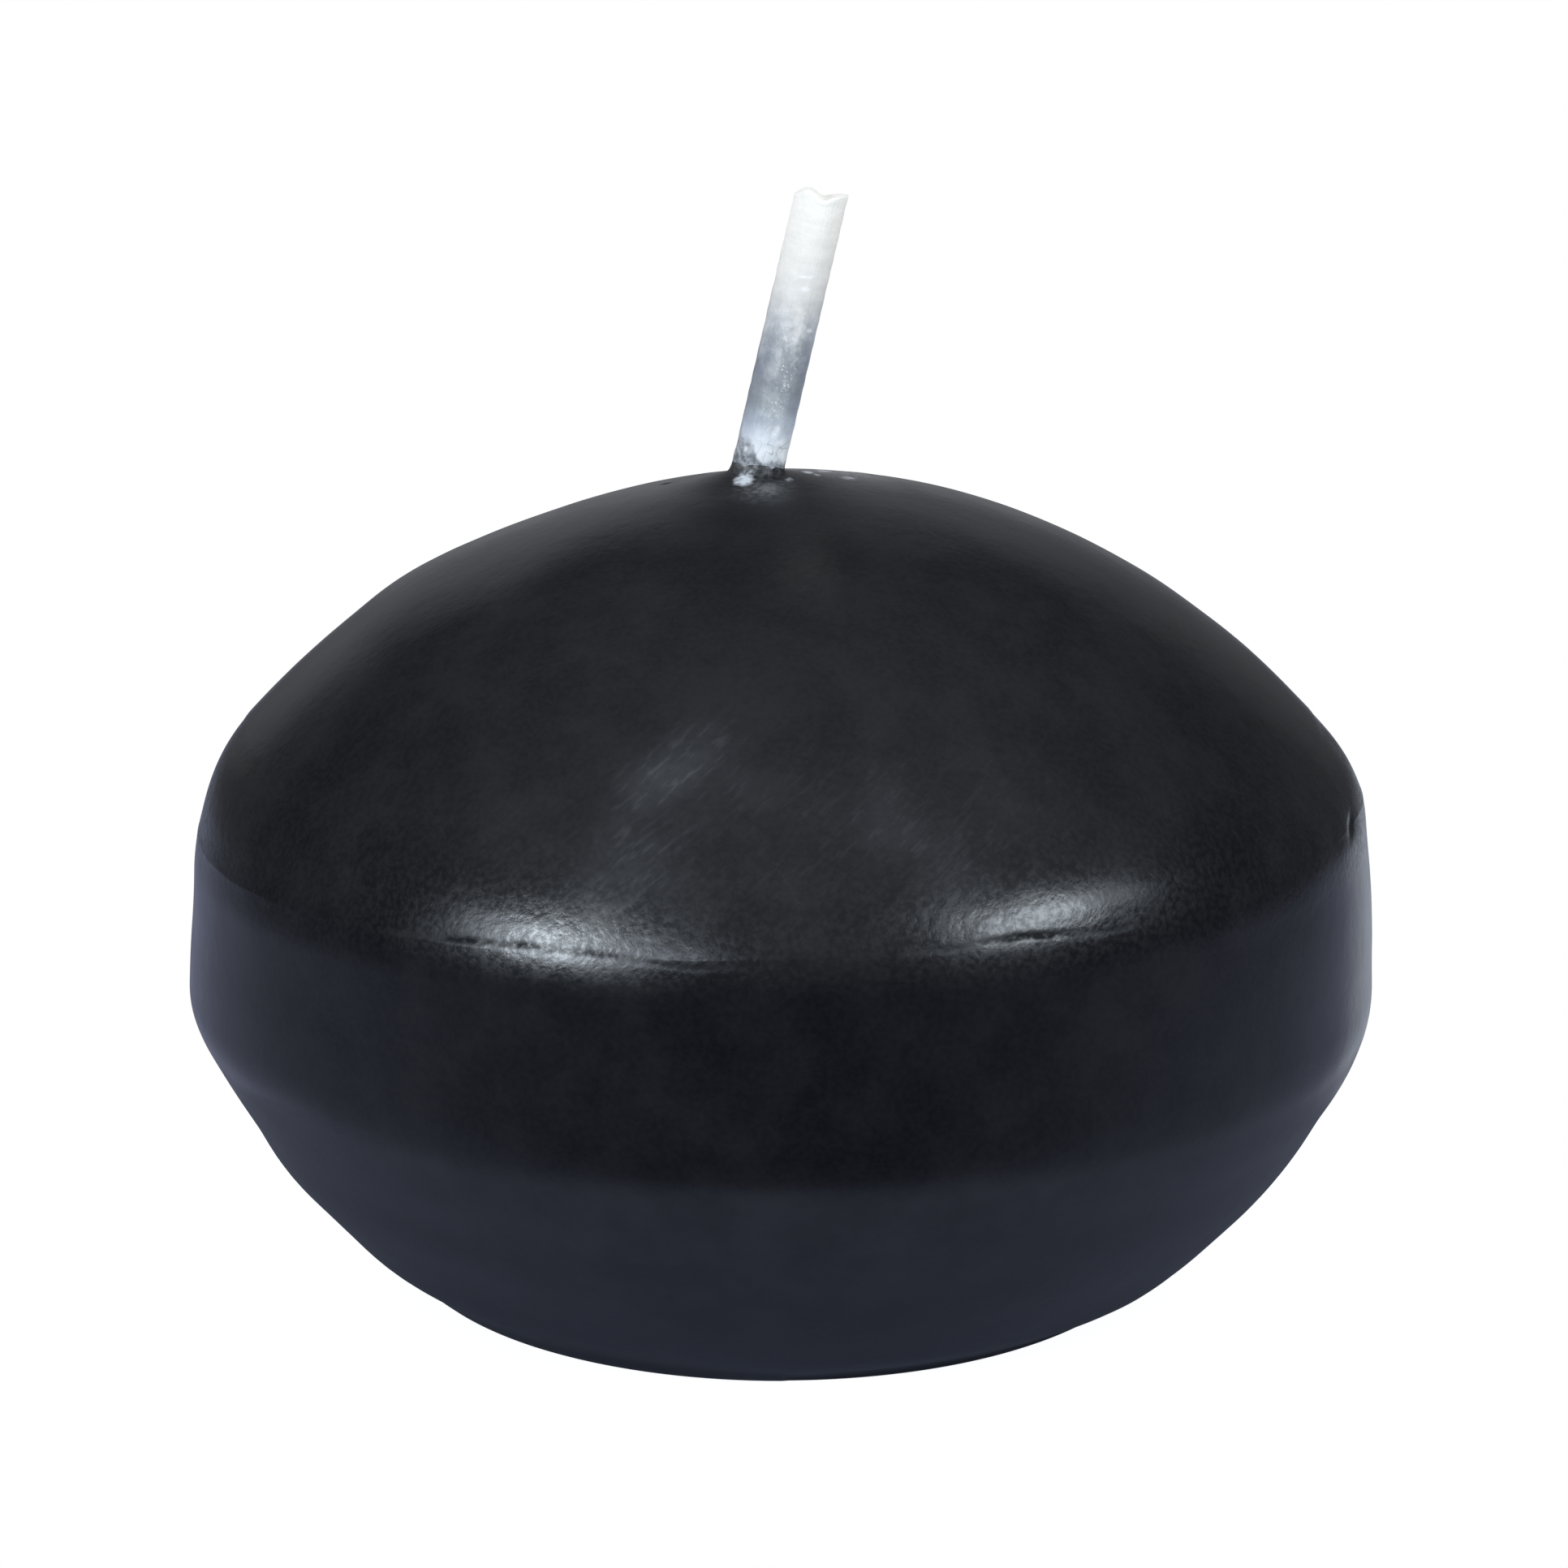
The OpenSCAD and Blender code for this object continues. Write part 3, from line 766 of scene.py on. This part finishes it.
def makeSteelMaterial():
    material, tree, shader = newMaterial("tinnedSteel")
    place = addNode(tree, "ShaderNodeTexCoord").outputs["Object"]
    blotch = noisy(tree, place, steelLook["blotchSize"], 4.0)
    drawn = noisy(tree, place, steelLook["lineSize"], 2.0)
    colour = mixed(tree, ranged(tree, blotch, 0.3, 0.7), steelLook["dark"], steelLook["light"])
    tree.links.new(colour, shader.inputs["Base Color"])
    shader.inputs["Metallic"].default_value = 1.0
    rough = ranged(tree, drawn, 0.2, 0.8, steelLook["smoothest"], steelLook["roughest"])
    tree.links.new(rough, shader.inputs["Roughness"])
    addBump(tree, shader, drawn, steelLook["bumpStrength"], steelLook["bumpDepth"])
    return material


makeBody(makeWaxMaterial())
makeWick(makeWickMaterial())
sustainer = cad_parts["wick_sustainer"]
sustainer.data.materials.clear()
sustainer.data.materials.append(makeSteelMaterial())
print("pieces made")


# the camera: distance and aim in m, elevation in degrees, and the photograph's size and aim in pixels
view = {
    "distance": 0.250, "aim": (0.0, 0.0, 0.025), "elevation": 15.28,
    "imageSize": 1932, "focalPixels": 4765, "aimColumn": 963.5, "aimRow": 1079.2,
}


def makeCamera():
    camera = bpy.data.objects.new("camera", bpy.data.cameras.new("camera"))
    bpy.context.scene.collection.objects.link(camera)
    camera.data.sensor_width = 36
    camera.data.lens = 36 * view["focalPixels"] / view["imageSize"]
    elevation = math.radians(view["elevation"])
    camera.location = Vector(view["aim"]) + view["distance"] * Vector((0, -math.cos(elevation), math.sin(elevation)))
    half = view["imageSize"] / 2
    tilt = elevation - math.atan((view["aimRow"] - half) / view["focalPixels"])
    pan = math.atan((view["aimColumn"] - half) / view["focalPixels"])
    camera.rotation_euler = (math.pi / 2 - tilt, 0, pan)
    bpy.context.scene.camera = camera


lamps = {
    # compass angle from the front towards +X, elevation, distance, width, height, brightness, colour
    "leftWide": (-38.0, 17.4, 0.60, 0.52, 0.070, 8.3, (0.78, 0.88, 1.0)),
    "leftCore": (-43.0, 17.7, 0.59, 0.15, 0.070, 28.0, (0.84, 0.93, 1.0)),
    "rightWide": (55, 23.0, 0.60, 0.38, 0.075, 4.7, (0.78, 0.88, 1.0)),
    "rightCore": (47, 22.5, 0.59, 0.22, 0.090, 16.5, (0.84, 0.93, 1.0)),
}


def makeLamp(name, compass, elevation, distance, width, height, brightness, colour):
    lamp = bpy.data.objects.new(name, bpy.data.lights.new(name, "AREA"))
    bpy.context.scene.collection.objects.link(lamp)
    a, e = math.radians(compass), math.radians(elevation)
    away = Vector((math.sin(a) * math.cos(e), -math.cos(a) * math.cos(e), math.sin(e)))
    lamp.location = Vector((0, 0, 0.035)) + distance * away
    lamp.rotation_euler = away.to_track_quat("Z", "Y").to_euler()
    lamp.data.shape = "RECTANGLE"
    lamp.data.size, lamp.data.size_y = width, height
    lamp.data.energy = brightness * math.pi * width * height
    lamp.data.color = colour


studio = {
    "level": 0.085,
    # broad soft lights far away: direction, strength, dot product where it starts and where it is full
    "glows": [
        ((0.0, -0.42, 0.907), 0.30, 0.20, 1.0),
        ((-0.31, 0.91, 0.26), 0.17, 0.93, 1.0),
        ((0.28, 0.92, 0.26), 0.07, 0.93, 1.0),
        ((0.0, 1.0, 0.0), 0.19, 0.955, 1.0),
        ((0.03, 0.90, 0.43), 0.09, 0.93, 1.0),
    ],
    "lowFront": (0.045, 0.048, 0.064, 1), "lowBack": (0.29, 0.31, 0.43, 1),
    # a pale thing on the right, low behind the candle: direction, colour, dot product where it starts
    "spark": ((0.423, 0.868, -0.259), (0.62, 0.68, 0.78, 1), 0.95),
    "tint": (0.93, 0.955, 1.02),
    # light on matte surfaces, from the sides and from above
    "matte": 0.66, "matteAbove": 1.0, "matteZone": (0.3, 0.95),
    # directions where the low light turns from front to back, and where the low light ends
    "sideZone": (-0.97, -0.15), "lowZone": (-0.22, -0.05),
}


def towards(tree, direction, axis):
    # 1 where the direction is along the axis
    return addNode(tree, "ShaderNodeVectorMath", {0: direction, 1: axis}, operation="DOT_PRODUCT").outputs["Value"]


def makeWorld():
    world = bpy.data.worlds.new("studio")
    world.use_nodes = True
    tree = world.node_tree
    tree.nodes.clear()
    direction = addNode(tree, "ShaderNodeTexCoord").outputs["Generated"]
    parts = addNode(tree, "ShaderNodeSeparateXYZ", {0: direction}).outputs
    level = studio["level"]
    for axis, strength, start, full in studio["glows"]:
        level = plus(tree, ranged(tree, towards(tree, direction, axis), start, full, 0.0, strength), level)
    low = mixed(tree, ranged(tree, parts[1], *studio["sideZone"]), studio["lowFront"], studio["lowBack"])
    axis, colour, start = studio["spark"]
    low = mixed(tree, ranged(tree, towards(tree, direction, axis), start, 1.0), low, colour)
    high = addNode(tree, "ShaderNodeVectorMath", {0: studio["tint"], 1: level}, operation="MULTIPLY").outputs[0]
    seen = mixed(tree, ranged(tree, parts[2], *studio["lowZone"]), low, high)
    rays = addNode(tree, "ShaderNodeLightPath").outputs
    # matte surfaces get an even light, glossy ones see the studio, and the camera sees white
    even = ranged(tree, parts[2], *studio["matteZone"], studio["matte"], studio["matteAbove"])
    colour = mixed(tree, rays["Is Glossy Ray"], even, seen)
    colour = mixed(tree, rays["Is Camera Ray"], colour, (1, 1, 1, 1))
    background = addNode(tree, "ShaderNodeBackground", {"Color": colour, "Strength": 1.0})
    addNode(tree, "ShaderNodeOutputWorld", {"Surface": background.outputs[0]})
    bpy.context.scene.world = world


# lift is the white that the floor shows to the camera beside the light that falls on it
floorSet = {"radius": 0.048, "sides": 128, "colour": (0.24, 0.265, 0.35, 1), "lift": 0.92}


def makeFloor():
    bm = bmesh.new()
    bmesh.ops.create_circle(bm, cap_ends=True, radius=floorSet["radius"], segments=floorSet["sides"])
    mesh = bpy.data.meshes.new("floor")
    bm.to_mesh(mesh)
    bm.free()
    floor = bpy.data.objects.new("floor", mesh)
    bpy.context.scene.collection.objects.link(floor)
    material = bpy.data.materials.new("paleFloor")
    material.use_nodes = True
    tree = material.node_tree
    tree.nodes.clear()
    matt = addNode(tree, "ShaderNodeBsdfDiffuse", {"Color": floorSet["colour"]})
    camera = addNode(tree, "ShaderNodeLightPath").outputs["Is Camera Ray"]
    glow = addNode(tree, "ShaderNodeEmission",
                   {"Color": (1, 1, 1, 1), "Strength": times(tree, camera, floorSet["lift"])})
    both = addNode(tree, "ShaderNodeAddShader", {0: matt.outputs[0], 1: glow.outputs[0]})
    addNode(tree, "ShaderNodeOutputMaterial", {"Surface": both.outputs[0]})
    mesh.materials.append(material)


makeCamera()
for name, settings in lamps.items():
    makeLamp(name + "Lamp", *settings)
makeWorld()
makeFloor()
bpy.context.scene.view_settings.view_transform = "Standard"
print("stage made")
